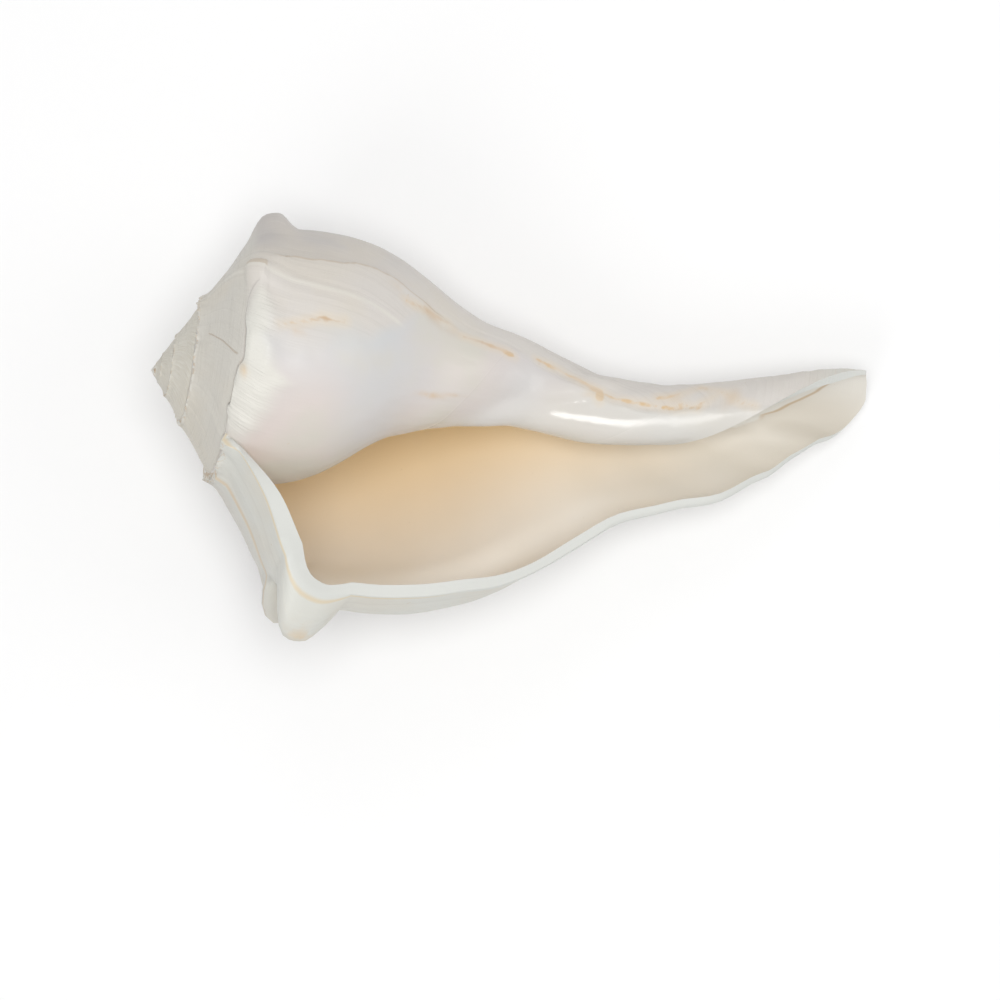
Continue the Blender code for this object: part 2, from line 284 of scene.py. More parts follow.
# Stains: the turn and the distance along the outline, the reach of each, and the strength
STAINS = (
    (-286.6, 90.6, 3.0, 4.0, 1.0),
    (-283.7, 98.9, 2.0, 3.0, 0.5),
    (-227.5, 76.0, 5.0, 10.0, 0.8),
    (-273.0, 38.4, 1.5, 1.8, 0.4),
    (-273.6, 47.2, 0.5, 0.5, 1.0),
    (-298.0, 24.6, 2.6, 1.2, 0.7),
    (-218.0, 138.4, 7.0, 3.0, 0.3),
    (-160.0, 165.0, 8.0, 5.0, 0.25),
    (-118.0, 181.0, 7.0, 5.0, 0.4),
    (-6.5, 29.5, 1.6, 2.6, 0.7),
)

# Camera, in millimetres: the photograph is this wide at the spire's tip, and the camera this far above it.
# The shell's axis slopes down to the right by the tilt, and its tip leans towards the camera.
VIEW_WIDTH = 259.2
CAMERA_DISTANCE = 980.0
APEX_IN_VIEW = (-90.46, 33.7)
AXIS_TILT = 4.0
AXIS_LEAN = 8.5
SENSOR = 36.0

# Studio, in metres and watts
FLOOR_SIZE = 6.0
FLOOR_COLOUR = (0.93, 0.93, 0.93)
WORLD_STRENGTH = 0.52
LIGHTS = (
    ("front", (0.13, -0.07, 1.5), 0.7, 10.1),
    ("low side", (-0.5, -1.0, 1.2), 0.9, 2.8),
    ("high side", (-0.1, 1.0, 1.1), 0.8, 1.2),
    ("right side", (1.1, 0.15, 1.0), 0.9, 1.7),
)
SHARP_ANGLE = 50.0
NOISE_CELLS = 64

# Sides of the wall, as the material reads them: the rim goes from its outer edge to its inner one
OUTSIDE = 0.0
RIM_OUTER = 1.0
RIM_INNER = 2.0
INSIDE = 3.0
RIM_ROUND = 0.65

# The material's steps between those sides, and the turns of the old lip and of the ridge across the front
RIM_STEP = (0.4, 0.6)
INSIDE_STEP = (2.4, 2.6)
OLD_LIP_TURN = -26.5
FRONT_RIDGE_TURN = -250.5

# Textures: the scale of each noise, larger for smaller marks, and the depth of the bumps in metres
CLOUD_SCALE = 17.0
INNER_CLOUD_SCALE = 24.0
BLOTCH_SCALE = 38.0
PATCHY_SCALE = 90.0
WAVE_SCALE = 130.0
STAIN_SCALE = 160.0
VEIN_SCALE = 240.0
SPECKLE_SCALE = 420.0
CRUMB_SCALE = 620.0
BUMP_DISTANCE = 0.0005
BUMP_STRENGTH = 0.6

# Rest: the direction of up in the laid frame, and the depth worn flat where the shell stands
REST_UP = (-0.215, 0.056, 0.975)
REST_WEAR = 0.4


def smooth(value, low, high):
    """0 below low, 1 above high, and an S-curve between them."""
    share = np.clip((np.asarray(value, float) - low) / (high - low), 0, 1)
    return share * share * (3 - 2 * share)


def bell(value, centre, reach):
    """1 at the centre, falling smoothly to 0 at this reach on either side."""
    return np.cos(np.clip(np.abs(value - centre) / reach, 0, 1) * math.pi / 2) ** 2


def monotone_curve(stations, values):
    """A smooth curve through the values that never overshoots them."""
    x = np.asarray(stations, float)
    y = np.asarray(values, float)
    step = np.diff(x)
    slope = np.diff(y) / step
    tangent = np.r_[slope[0], np.zeros(len(x) - 2), slope[-1]]
    for k in range(1, len(x) - 1):
        if slope[k - 1] * slope[k] > 0:
            tangent[k] = 2 * slope[k - 1] * slope[k] / (slope[k - 1] + slope[k])

    def curve(at):
        at = np.asarray(at, float)
        k = np.clip(np.searchsorted(x, at, side="right") - 1, 0, len(step) - 1)
        t = (at - x[k]) / step[k]
        rise = y[k] * (2 * t**3 - 3 * t**2 + 1) + y[k + 1] * (3 * t**2 - 2 * t**3)
        return rise + step[k] * (tangent[k] * (t**3 - 2 * t**2 + t) + tangent[k + 1] * (t**3 - t**2))

    return curve


class Outline:
    """The outline's stations as curves over the distance along it, and the rows of the mesh."""

    def __init__(self, stations):
        table = np.array(stations, float)
        cover = table[COVER_STATION]
        first = [cover[0] / WHORL_RATIO, cover[1] / WHORL_RATIO, 0, SUTURE_AZIMUTH, SUTURE_THICKNESS, 0]
        table = np.vstack([first, table])
        self.along = np.r_[0, np.cumsum(np.hypot(*np.diff(table[:, :2], axis=0).T))]
        self.axial, self.radius, self.flare, self.lip, self.lip_wall = (
            monotone_curve(self.along, table[:, column]) for column in range(5)
        )
        rows = [0.0]
        for k, count in enumerate(table[1:, 5].astype(int)):
            rows.extend(self.along[k] + (self.along[k + 1] - self.along[k]) * (np.arange(count) + 1) / count)
        self.rows = np.array(rows)
        self.cover_along = self.along[COVER_STATION + 1]
        self.inner_along = self.along[COVER_STATION + 2]
        self.belly_along = self.along[BELLY_STATION + 1]
        self.roll_along = self.along[ROLL_STATION + 1]
        self.end = self.along[-1]
        self.cover_row = int(np.argmin(abs(self.rows - self.cover_along)))
        self.inner_row = int(np.argmin(abs(self.rows - self.inner_along)))
        self.roll_row = int(np.argmin(abs(self.rows - self.roll_along)))
        self.knob_along = self.inner_along

    def last_row(self, column):
        """The last row of a column: deep inside, the canal's end draws back to the columella."""
        drawn_back = np.maximum(np.asarray(column) - TAIL_COLUMNS, 0)
        return np.maximum(len(self.rows) - 1 - drawn_back, self.roll_row + ROLL_ROWS)


OUTLINE = Outline(STATIONS)
KNOB_HEIGHT = monotone_curve(*zip(*KNOB_HEIGHTS))
KNOB_LEAN = monotone_curve(*zip(*KNOB_LEANS))


def scale_at(azimuth):
    return WHORL_RATIO ** ((azimuth - TOP_AZIMUTH) / 360)


def placed(axial, radius, azimuth):
    """The point in the laid shell's frame: +X along the axis to the canal, +Z to the front, +Y to the top."""
    turn = np.radians(azimuth)
    return np.stack([axial, radius * np.sin(turn), radius * np.cos(turn)], -1)


def knob_rise(growth, along):
    """How far the knobs raise the surface, before the whorl's scale."""
    from_knob = (growth + KNOB_BEHIND_LIP + KNOB_SPACING / 2) % KNOB_SPACING - KNOB_SPACING / 2
    offset = along - OUTLINE.knob_along
    wider = 1 + KNOB_WIDER_AT_LIP * smooth(growth, -KNOB_SPACING, 0)
    narrower = KNOB_NARROWER_TO_SPIRE * smooth(growth, -0.75 * KNOB_SPACING, -KNOB_BEHIND_LIP)
    to_spire = KNOB_REACH_TO_SPIRE - narrower
    reach = wider * np.where(offset < 0, to_spire, KNOB_REACH_TO_CANAL)
    uncovered = smooth(growth, -SUTURE_TURN, -SUTURE_TURN + KNOB_SPACING)
    inside = np.where(along > OUTLINE.cover_along + SLOPE_STEP, COVERED_KNOB_SHARE, 1.0)
    height = KNOB_HEIGHT(growth) * (inside + (1 - inside) * uncovered)
    half_turn = np.where(from_knob > 0, KNOB_TURN_TO_LIP, KNOB_HALF_TURN)
    flat_turn = half_turn * np.where(growth > -KNOB_BEHIND_LIP - KNOB_SPACING / 2, 0.0, KNOB_FLAT)
    across = 1 - smooth(np.abs(from_knob), flat_turn, half_turn)
    down = 1 - smooth(np.abs(offset), KNOB_FLAT * reach, reach)
    thumb_share = THUMB_SHARE * smooth(growth, -KNOB_SPACING / 2, -KNOB_BEHIND_LIP)
    down = down + thumb_share * (np.sqrt(np.clip(1 - (offset / THUMB_REACH) ** 2, 0, 1)) - down)
    return height * across * down


def plain_outer(growth, along):
    """The outer surface without knobs."""
    growth, along = np.broadcast_arrays(np.asarray(growth, float), np.asarray(along, float))
    azimuth = growth + OUTLINE.lip(along)
    swell = LIP_SWELL * bell(growth, -SWELL_TURN / 2, SWELL_TURN / 2)
    swell = swell * bell(along, OUTLINE.belly_along, SWELL_REACH)
    glaze = COLUMELLA_GLAZE * smooth(-azimuth, 0, GLAZE_TURN)
    glaze = glaze * smooth(along, GLAZE_FROM, GLAZE_FROM + GLAZE_RISE)
    glaze = glaze * (1 - smooth(along, GLAZE_TO - GLAZE_FALL, GLAZE_TO))
    radius = OUTLINE.radius(along) + OUTLINE.flare(along) * smooth(growth, -FLARE_TURN, 0) + swell + glaze
    scale = scale_at(azimuth)
    return placed(scale * OUTLINE.axial(along), scale * radius, azimuth)


def raised(growth, along, rise):
    """The step outwards by this rise at a point of the surface."""
    azimuth = growth + OUTLINE.lip(along)
    rise = rise * scale_at(azimuth)
    return placed(KNOB_LEAN(growth) * rise, rise, azimuth)


def outer(growth, along):
    """The outer surface with its knobs, which also lift the suture of the whorl that covers them."""
    growth, along = np.broadcast_arrays(np.asarray(growth, float), np.asarray(along, float))
    points = plain_outer(growth, along) + raised(growth, along, knob_rise(growth, along))
    covered = growth - SUTURE_TURN, OUTLINE.cover_along
    lift = raised(*covered, knob_rise(*covered))
    return points + lift * (1 - smooth(along, 0, SUTURE_BLEND))[..., None]


def wall_thickness(growth, along):
    azimuth = growth + OUTLINE.lip(along)
    body = WALL + (CANAL_WALL - WALL) * smooth(along, OUTLINE.belly_along, OUTLINE.roll_along)
    deep = body * scale_at(azimuth) / scale_at(OUTLINE.lip(along))
    return deep + (OUTLINE.lip_wall(along) - deep) * smooth(growth, -LIP_TURN, 0)


def inward(growth, along):
    """The unit normal of the plain outer surface, into the wall."""
    by_growth = plain_outer(growth + SLOPE_STEP, along) - plain_outer(growth - SLOPE_STEP, along)
    low = np.clip(along - SLOPE_STEP, 0, OUTLINE.end)
    high = np.clip(along + SLOPE_STEP, 0, OUTLINE.end)
    by_along = plain_outer(growth, high) - plain_outer(growth, low)
    normal = np.cross(by_growth, by_along)
    return normal / np.linalg.norm(normal, axis=-1, keepdims=True)


def inner_skin(growth, along):
    """The plain outer surface, moved in by the wall's thickness."""
    return plain_outer(growth, along) + inward(growth, along) * wall_thickness(growth, along)[..., None]


def inner(column, along):
    """The inner surface: it hugs the wall, and in the older canal it closes the roll into the columella."""
    column, along = np.broadcast_arrays(column, np.asarray(along, float))
    growth = -GROWTH_STEP * column
    last_along = OUTLINE.rows[OUTLINE.last_row(column)]
    edge_turn = EDGE_COLUMNS * GROWTH_STEP
    edge_share = smooth(growth, -edge_turn, -edge_turn / 2)
    end_share = smooth(along, OUTLINE.roll_along, last_along)
    thickness = wall_thickness(growth, along) * (1 - end_share * (1 - edge_share))
    hug = plain_outer(growth, along) + inward(growth, along) * thickness[..., None]
    spout = SPOUT_SHARE * smooth(growth, -SPOUT_TURN, -KNOB_BEHIND_LIP)
    spout = spout + (SPOUT_SHARE_AT_LIP - spout) * smooth(growth, -KNOB_BEHIND_LIP, 0)
    hug = hug + raised(growth, along, spout * knob_rise(growth, along))
    start = inner_skin(growth, np.full_like(along, OUTLINE.roll_along))
    edge = inward(growth, last_along) * (wall_thickness(growth, last_along) * edge_share)[..., None]
    end = plain_outer(growth, last_along) + edge
    share = np.clip((along - OUTLINE.roll_along) / (last_along - OUTLINE.roll_along), 0, 1)[..., None]
    chord = start + (end - start) * share
    drawn_back = smooth(column, TAIL_COLUMNS, TAIL_COLUMNS + TAIL_ROWS)
    fill = (smooth(-growth, 0, ROLL_FILL_TURN) * (1 - drawn_back) * (along > OUTLINE.roll_along))[..., None]
    points = hug + (chord - hug) * fill
    own = inner_skin(growth, np.zeros_like(along))
    seat = outer(growth - SUTURE_TURN, OUTLINE.inner_along)
    return points + (seat - own) * (1 - smooth(along, 0, SUTURE_BLEND))[..., None]


# Low relief and markings


def value_noise(x, y, seed):
    """Smooth noise from -1 to 1 that changes over a distance of about 1."""
    x, y = np.broadcast_arrays(np.asarray(x, float), np.asarray(y, float))
    grid = np.random.default_rng(seed).uniform(-1, 1, (NOISE_CELLS, NOISE_CELLS))
    i, j = np.floor(x).astype(int), np.floor(y).astype(int)
    u, v = smooth(x - i, 0, 1), smooth(y - j, 0, 1)
    i, j = i % NOISE_CELLS, j % NOISE_CELLS
    after, beyond = (i + 1) % NOISE_CELLS, (j + 1) % NOISE_CELLS
    near = grid[i, j] * (1 - u) + grid[after, j] * u
    far = grid[i, beyond] * (1 - u) + grid[after, beyond] * u
    return near * (1 - v) + far * v


def wandering(growth, along):
    """The turn of the growth line at a place: growth lines wander a little along the outline."""
    return growth + LINE_WANDER * value_noise(along / 26, growth / 120, 1)


GLAZE_BOUNDARY = monotone_curve(*zip(*GLAZE_EDGE))
PATCH_TURNS, PATCH_LOWS, PATCH_HIGHS = zip(*SCALE_PATCH)
PATCH_LOW = monotone_curve(PATCH_TURNS, PATCH_LOWS)
PATCH_HIGH = monotone_curve(PATCH_TURNS, PATCH_HIGHS)
LONG_HALT_TURN = monotone_curve(*zip(*LONG_HALT))


def glaze_turn(growth, along):
    """How far a place lies within the edge of the mouth's glaze, in degrees of growth."""
    edge = GLAZE_BOUNDARY(np.clip(along, GLAZE_EDGE[0][0], GLAZE_EDGE[-1][0]))
    return edge + 2.5 * value_noise(along / 9, growth / 40, 4) - growth


def canal_turn(growth, along):
    """How far a place in the canal lies within the glaze that rolls over from the columella, in degrees."""
    start, end = CANAL_GLAZE_ALONG
    share = np.clip((along - start) / (end - start), 0, 1)
    edge = CANAL_GLAZE_TURN + CANAL_GLAZE_SLANT * share + CANAL_GLAZE_HOOK * share**5
    short = CANAL_GLAZE_FALL * np.maximum(start - along, 0)
    return edge + 2.0 * value_noise(along / 6, 0.0, 16) - growth - short


def patch_left(growth, along):
    """How far a place lies within the ledge that the glaze makes along the shoulder, in millimetres."""
    low = PATCH_LOW(np.clip(growth, PATCH_TURNS[0], PATCH_TURNS[-1]))
    return along - low - 0.6 * value_noise(growth / 3.6, 0.0, 6)


def patch_right(growth, along):
    high = PATCH_HIGH(np.clip(growth, PATCH_TURNS[0], PATCH_TURNS[-1]))
    return high + 1.6 * value_noise(growth / 5, 0.0, 7) - along


def glazed(growth, along):
    """1 where the mouth's glaze covers the last whorl, 0 on the bare outside."""
    turned = smooth(glaze_turn(growth, along), -GLAZE_EDGE_TURN / 2, GLAZE_EDGE_TURN / 2)
    return turned * smooth(patch_left(growth, along), -0.5, 0.5)


def scale_patch(growth, along):
    """1 on the thick scaly glaze of the shoulder."""
    fade = 1.4 + 3.6 * (1 - smooth(growth, -292.0, -270.0))
    sides = smooth(patch_left(growth, along), -0.5, 0.5) * smooth(patch_right(growth, along) / fade, -1, 1)
    top = 1 - smooth(growth, PATCH_TURNS[-1] - 1, PATCH_TURNS[-1])
    return sides * top * smooth(growth, PATCH_TURNS[0], PATCH_TURNS[0] + 25)


def halt(growth, place):
    """The old lip that stands proud at a growth halt: steep on the newer side, long on the older one."""
    older = place - growth
    return np.where(older > 0, np.exp(-older / HALT_REACH), 1 - smooth(-older, 0, HALT_FALL))


def long_halt(growth, along):
    """The turn past the strongest growth halt."""
    along = np.clip(along, LONG_HALT[0][0], LONG_HALT[-1][0])
    return growth - LONG_HALT_TURN(along) - 0.8 * value_noise(along / 3.0, 0.0, 13)


def halt_lines(growth, along):
    line = wandering(growth, along)
    spire_halts = np.arange(-333.0, -1600.0, -SPIRE_HALT_SPACING)
    spread = 14 * value_noise(spire_halts / 31, 0.0, 8)
    fades = 1 - 0.8 * smooth(along, 45, 75)
    raised_by = sum(height * halt(line, place) for place, height in HALTS)
    raised_by = raised_by + LONG_HALT_HEIGHT * halt(long_halt(growth, along), 0.0) * smooth(along, 28, 31)
    return raised_by * fades + sum(0.2 * halt(line, place) for place in spire_halts + spread)


def suture_ledge(growth, along):
    profile = smooth(along, 0, LEDGE_PEAK) * (1 - smooth(along, LEDGE_PEAK, LEDGE_REACH))
    uneven = 0.75 + 0.5 * value_noise(growth / 9, 0.0, 9)
    clumps = smooth(value_noise(growth / 13, 0.0, 14), -0.3, 0.5) + smooth(growth, -48, -30)
    flakes = np.maximum(value_noise(growth / 3.2, along / 1.3, 10) - 0.1, 0)
    flakes = flakes * (1 - smooth(along, 1.0, CRUMB_REACH))
    swirls = np.maximum(value_noise(growth / 5.5, along / 2.1, 15) + 0.1, 0) * smooth(growth, -42, -32)
    swirls = 1.2 * swirls * smooth(along, 0, 0.8) * (1 - smooth(along, 1.6, 4.2))
    crumbs = CRUMB_HEIGHT * np.clip(clumps, 0, 1) * flakes * smooth(along, 0, 0.5)
    return swirls + LEDGE_HEIGHT * profile * uneven + crumbs


def broken_column(growth, along):
    across = 1 - smooth(np.abs(along - COLUMN_ALONG), 0.5 * COLUMN_HALF_WIDTH, COLUMN_HALF_WIDTH)
    lengthwise = (0.35 + 0.65 * smooth(growth, -262.0, -252.0)) * smooth(growth, COLUMN_END, COLUMN_END + 8)
    start, end = COLUMN_BREAK
    return across * lengthwise * np.clip((end - growth) / (end - start), 0, 1)


def spur(growth, along):
    low, high = SPUR_ALONG
    across = smooth(along, low, high) * (1 - smooth(along, high, high + SPUR_DROP))
    rise = smooth(growth, SPUR_TURN - SPUR_RISE_TURN, SPUR_BREAK - 1.5)
    return across * rise * rise * (1 - smooth(growth, SPUR_BREAK, SPUR_BREAK + SPUR_BREAK_TURN))


def relief(growth, along):
    """The low relief of the outside, in millimetres, before the whorl's scale."""
    growth, along = np.broadcast_arrays(np.asarray(growth, float), np.asarray(along, float))
    line = wandering(growth, along)
    glaze = glazed(growth, along)
    lines = 0.07 * value_noise(line / 3.4, along / 50, 2) + 0.14 * value_noise(line / 8, along / 45, 3)
    bare = lines + halt_lines(growth, along) + suture_ledge(growth, along)
    waves = 0.12 * value_noise(line / 16, along / 14, 11)
    scales = SCALE_PATCH_HEIGHT * scale_patch(growth, along) * (1 - 0.5 * smooth(growth, -270, -257))
    thick = GLAZE_THICKNESS + waves + scales
    thick = thick * (1 + 0.25 * value_noise(growth / 4, along / 3, 12))
    broken = COLUMN_HEIGHT * broken_column(growth, along) + SPUR_HEIGHT * spur(growth, along)
    thin = smooth(along, 100, 112)
    return bare * (1 - 0.9 * glaze) + thick * glaze * (1 - 0.8 * thin) + broken


# The mesh


class Lattice:
    """The shell's points by column and row, and its faces, with each corner's place on the shell."""

    def __init__(self):
        rows = OUTLINE.rows
        self.last = len(rows) - 1
        self.growth = -GROWTH_STEP * np.arange(SPIRE_COLUMNS + 1)
        self.growth[0] -= RIM_ROUND * GROWTH_STEP
        cavity = np.arange(CAVITY_COLUMNS + 1)[:, None]
        outside = outer(self.growth[:, None], rows[None, :])
        rise = relief(self.growth[:, None], rows) * scale_at(self.growth[:, None] + OUTLINE.lip(rows))
        outside = outside - inward(self.growth[:, None], rows) * rise[..., None]
        inside = inner(cavity, rows[None, :])
        self.points = [outside.reshape(-1, 3), inside.reshape(-1, 3)]
        count = outside.shape[0] * outside.shape[1]
        self.out = np.arange(count).reshape(outside.shape[:2])
        self.into = count + np.arange(inside.shape[0] * inside.shape[1]).reshape(inside.shape[:2])
        self.out[: -SUTURE_COLUMNS, 0] = self.out[SUTURE_COLUMNS:, OUTLINE.cover_row]
        self.into[:, 0] = self.out[SUTURE_COLUMNS : SUTURE_COLUMNS + CAVITY_COLUMNS + 1, OUTLINE.inner_row]
        for column in range(EDGE_COLUMNS, CAVITY_COLUMNS + 1):
            end = OUTLINE.last_row(column)
            self.into[column, end] = self.out[column, end]
        self.faces = []
        self.places = []

    def sheet(self, at, side, first_row, end_row, columns, turned):
        """Faces between the rows and columns of one surface, cut short where the canal's end draws back."""
        column, row = np.meshgrid(np.arange(columns), np.arange(first_row, end_row), indexing="ij")
        here, older = OUTLINE.last_row(column), OUTLINE.last_row(column + 1)
        whole = (row < here) & (row < older)
        half = (row < here) & (row == older)
        steps = ((0, 0), (1, 0), (1, 1), (0, 1))
        for keep, corners in ((whole, steps), (half, (steps[0], steps[1], steps[3]))):
            if turned:
                corners = corners[::-1]
            c, r = column[keep], row[keep]
            faces = np.stack([at[c + x, r + y] for x, y in corners], 1)
            growth = np.stack([self.growth[c + x] for x, y in corners], 1)
            along = np.stack([OUTLINE.rows[r + y] for x, y in corners], 1)
            self.add(faces, side, growth, along)

    def add(self, faces, side, growth, along):
        """Keeps these faces and the places of their corners. Faces that have shrunk to a line are dropped when the
        lattice is finished.
        """
        self.faces.append(faces)
        self.places.append(np.stack([np.broadcast_to(side, faces.shape), growth, along], -1))

    def sheets(self):
        """Every whorl's slope, the wall under the newest suture, the rest of the outside, and the inside."""
        cover, seat = OUTLINE.cover_row, OUTLINE.inner_row
        self.sheet(self.out, OUTSIDE, 0, cover, SPIRE_COLUMNS, False)
        self.sheet(self.out, OUTSIDE, cover, seat, SUTURE_COLUMNS, False)
        self.sheet(self.out, OUTSIDE, seat, self.last, SUTURE_COLUMNS + CAVITY_COLUMNS, False)
        self.sheet(self.into, INSIDE, 0, self.last, CAVITY_COLUMNS, True)

    def strip(self, left, right, side, growth, along):
        """Faces between two lines of points, from each point to the next."""
        faces = np.stack([left[:-1], left[1:], right[1:], right[:-1]], 1)
        spread = [np.stack([x[:-1], x[1:], x[1:], x[:-1]], 1) for x in (growth, along)]
        self.add(faces, side, *spread)

    def rim(self):
        """The lip's rounded rim, and the thin edge of the canal and columella."""
        steps = OUTLINE.inner_row - OUTLINE.cover_row
        rows = OUTLINE.rows
        lip = outer(0.0, rows), inner(0, rows)
        edge_end = self.out[: EDGE_COLUMNS + 1, self.last], self.into[: EDGE_COLUMNS + 1, self.last]
        ends = self.point_of(edge_end[0]), self.point_of(edge_end[1])
        lip_lines = [self.out[0]]
        edge_lines = [edge_end[0]]
        for k in range(1, steps):
            share = 0.5 - 0.5 * math.cos(math.pi * k / steps)
            lip_line = self.new_points(lip[0] * (1 - share) + lip[1] * share)
            lip_line[0] = self.out[SUTURE_COLUMNS, OUTLINE.cover_row + k]
            edge_line = self.new_points(ends[0] * (1 - share) + ends[1] * share)
            edge_line[0] = lip_line[-1]
            edge_line[-1] = edge_end[0][-1]
            lip_lines.append(lip_line)
            edge_lines.append(edge_line)
        lip_lines.append(self.into[0])
        edge_lines.append(edge_end[1])
        newest = np.zeros(len(rows))
        last = np.full(EDGE_COLUMNS + 1, rows[-1])
        for k in range(steps):
            outer_side, inner_side = (RIM_OUTER + (RIM_INNER - RIM_OUTER) * (k + x) / steps for x in (0, 1))
            side = [outer_side, outer_side, inner_side, inner_side]
            self.strip(lip_lines[k], lip_lines[k + 1], side, newest, rows)
            self.strip(edge_lines[k], edge_lines[k + 1], side, self.growth[: EDGE_COLUMNS + 1], last)

    def point_of(self, index):
        return np.concatenate(self.points)[index]

    def new_points(self, points):
        start = sum(len(block) for block in self.points)
        self.points.append(points)
        return start + np.arange(len(points))

    def blind_end(self):
        """The wall at the bottom of the hollow, zipped from its newest growth line to the whorl before it."""
        end = CAVITY_COLUMNS
        first = end + SUTURE_COLUMNS
        new_side = list(self.into[end, : OUTLINE.last_row(end) + 1][::-1])
        old_side = [self.out[column, OUTLINE.last_row(column)] for column in range(end, first)]
        old_side += list(self.out[first, OUTLINE.inner_row : OUTLINE.last_row(first) + 1][::-1])
        points = np.concatenate(self.points)
        faces = []
        while len(new_side) > 1 or len(old_side) > 1:
            new_next = points[new_side[1], 0] if len(new_side) > 1 else -math.inf
            old_next = points[old_side[1], 0] if len(old_side) > 1 else -math.inf
            side = new_side if new_next >= old_next else old_side
            faces.append((new_side[0], old_side[0], side[1]))
            side.pop(0)
        faces = np.array(faces)
        deep = np.full(faces.shape, self.growth[end])
        self.add(faces, INSIDE, deep, np.full(faces.shape, OUTLINE.belly_along))

    def apex_cap(self):
        oldest = SPIRE_COLUMNS
        loop = list(self.out[oldest - SUTURE_COLUMNS : oldest + 1, 0])
        loop += list(self.out[oldest, 1 : OUTLINE.cover_row])
        tip = self.new_points(np.zeros((1, 3)))[0]
        faces = np.array([(onward, here, tip) for here, onward in zip(loop, loop[1:] + loop[:1])])
        oldest_growth = np.full(faces.shape, self.growth[oldest])
        self.add(faces, OUTSIDE, oldest_growth, np.zeros(faces.shape))

    def finished(self):
        """All points, the faces without repeated corners, and each face corner's place."""
        faces, places = [], []
        for block, spots in zip(self.faces, self.places):
            for corners, spot in zip(block.tolist(), spots):
                keep = [k for k in range(len(corners)) if corners[k] != corners[k - 1]]
                if len(keep) > 2:
                    faces.append([corners[k] for k in keep])
                    places.append(spot[keep])
        used, index = np.unique(np.concatenate(faces), return_inverse=True)
        ends = np.cumsum([len(face) for face in faces])
        faces = np.split(index.reshape(-1), ends[:-1])
        return np.concatenate(self.points)[used], faces, np.concatenate(places)


def grown_shell():
    lattice = Lattice()
    lattice.sheets()
    lattice.rim()
    lattice.blind_end()
    lattice.apex_cap()
    return lattice.finished()


def solid_points():
    """The outer and inner surface at the solid's rows and growth lines, which set its place in the frame."""
    step = COLUMNS_PER_SOLID_COLUMN
    body_rows = OUTLINE.rows[: OUTLINE.roll_row : ROWS_PER_SOLID_ROW]
    rows = np.r_[body_rows, OUTLINE.rows[OUTLINE.roll_row :: CANAL_ROWS_PER_SOLID_ROW]]
    columns = np.arange(0, CAVITY_COLUMNS + 1, step)[:, None]
    outside = outer(-GROWTH_STEP * np.arange(0, SPIRE_COLUMNS + 1, step)[:, None], rows)
    return np.concatenate([outside.reshape(-1, 3), inner(columns, rows).reshape(-1, 3), np.zeros((1, 3))])


def rest_turn():
    """The turn from the laid frame to the frame of the solid, as rows of a matrix."""
    up = np.array(REST_UP) / np.linalg.norm(REST_UP)
    along = np.array([1.0, 0, 0]) - up * up[0]
    along /= np.linalg.norm(along)
    return np.array([along, np.cross(up, along), up])


def rest_shift(turn):
    """The shift after the turn, in millimetres: it centres the solid over the flat that it rests on."""
    points = solid_points() @ turn.T
    low, high = points.min(axis=0), points.max(axis=0)
    return np.array([-(low[0] + high[0]) / 2, -(low[1] + high[1]) / 2, -(low[2] + REST_WEAR)])


REST_TURN = rest_turn()
REST_SHIFT = rest_shift(REST_TURN)


def in_frame(points):
    """Points of the laid frame in the frame of the solid, in metres, kept within the solid's box."""
    low, high = (np.array(corner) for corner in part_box("shell"))
    return np.clip((np.asarray(points) @ REST_TURN.T + REST_SHIFT) * MM, low, high)


def stained(growth, along):
    """How strongly a place is stained, from 0 to 1."""
    total = np.zeros(np.broadcast(growth, along).shape)
    for turn, distance, turn_reach, reach, strength in STAINS:
        away = ((growth - turn) / turn_reach) ** 2 + ((along - distance) / reach) ** 2
        total += strength * np.exp(-away)
    return np.clip(total, 0, 1)


def line_distance(growth, along, corners, half_width):
    """The distance in millimetres from a line on the outer surface, up to the farthest that matters."""
    points = plain_outer(growth, along)
    ends = plain_outer([turn for turn, distance in corners], [distance for turn, distance in corners])
    nearest = np.full(len(points), FARTHEST_VEIN)
    for start, end in zip(ends[:-1], ends[1:]):
        step = end - start
        share = np.clip((points - start) @ step / (step @ step), 0, 1)
        distance = np.linalg.norm(points - start - share[:, None] * step, axis=1)
        nearest = np.minimum(nearest, distance - half_width)
    return nearest


def markings(side, growth, along):
    """What the material reads at each face corner besides its place: distances to edges, and marks."""
    outside = side < RIM_OUTER
    distances = {
        "glaze_turn": (glaze_turn, 60),
        "patch_left": (patch_left, 6),
        "patch_right": (patch_right, 6),
        "canal_turn": (canal_turn, 60),
        "halt_turn": (long_halt, 30),
    }
    marks = {}
    for name, (distance, most) in distances.items():
        marks[name] = np.clip(distance(growth, along), -most, most)
    nearest = [line_distance(growth, along, corners, half_width) for half_width, *corners in VEINS]
    marks["stain"] = np.where(outside, stained(growth, along), 0)
    marks["vein"] = np.where(outside, np.min(nearest, axis=0), FARTHEST_VEIN)
    return marks


def principled(name, colour, roughness):
    material = bpy.data.materials.new(name)
    material.use_nodes = True
    surface = material.node_tree.nodes["Principled BSDF"]
    surface.inputs["Base Color"].default_value = (*colour, 1)
    surface.inputs["Roughness"].default_value = roughness
    return material


def srgb(red, green, blue):
    """A colour as it looks on a screen, from 0 to 255, as the linear colour that a shader takes."""
    share = np.array([red, green, blue]) / 255
    linear = np.where(share <= 0.04045, share / 12.92, ((share + 0.055) / 1.055) ** 2.4)
    return (*linear.tolist(), 1.0)


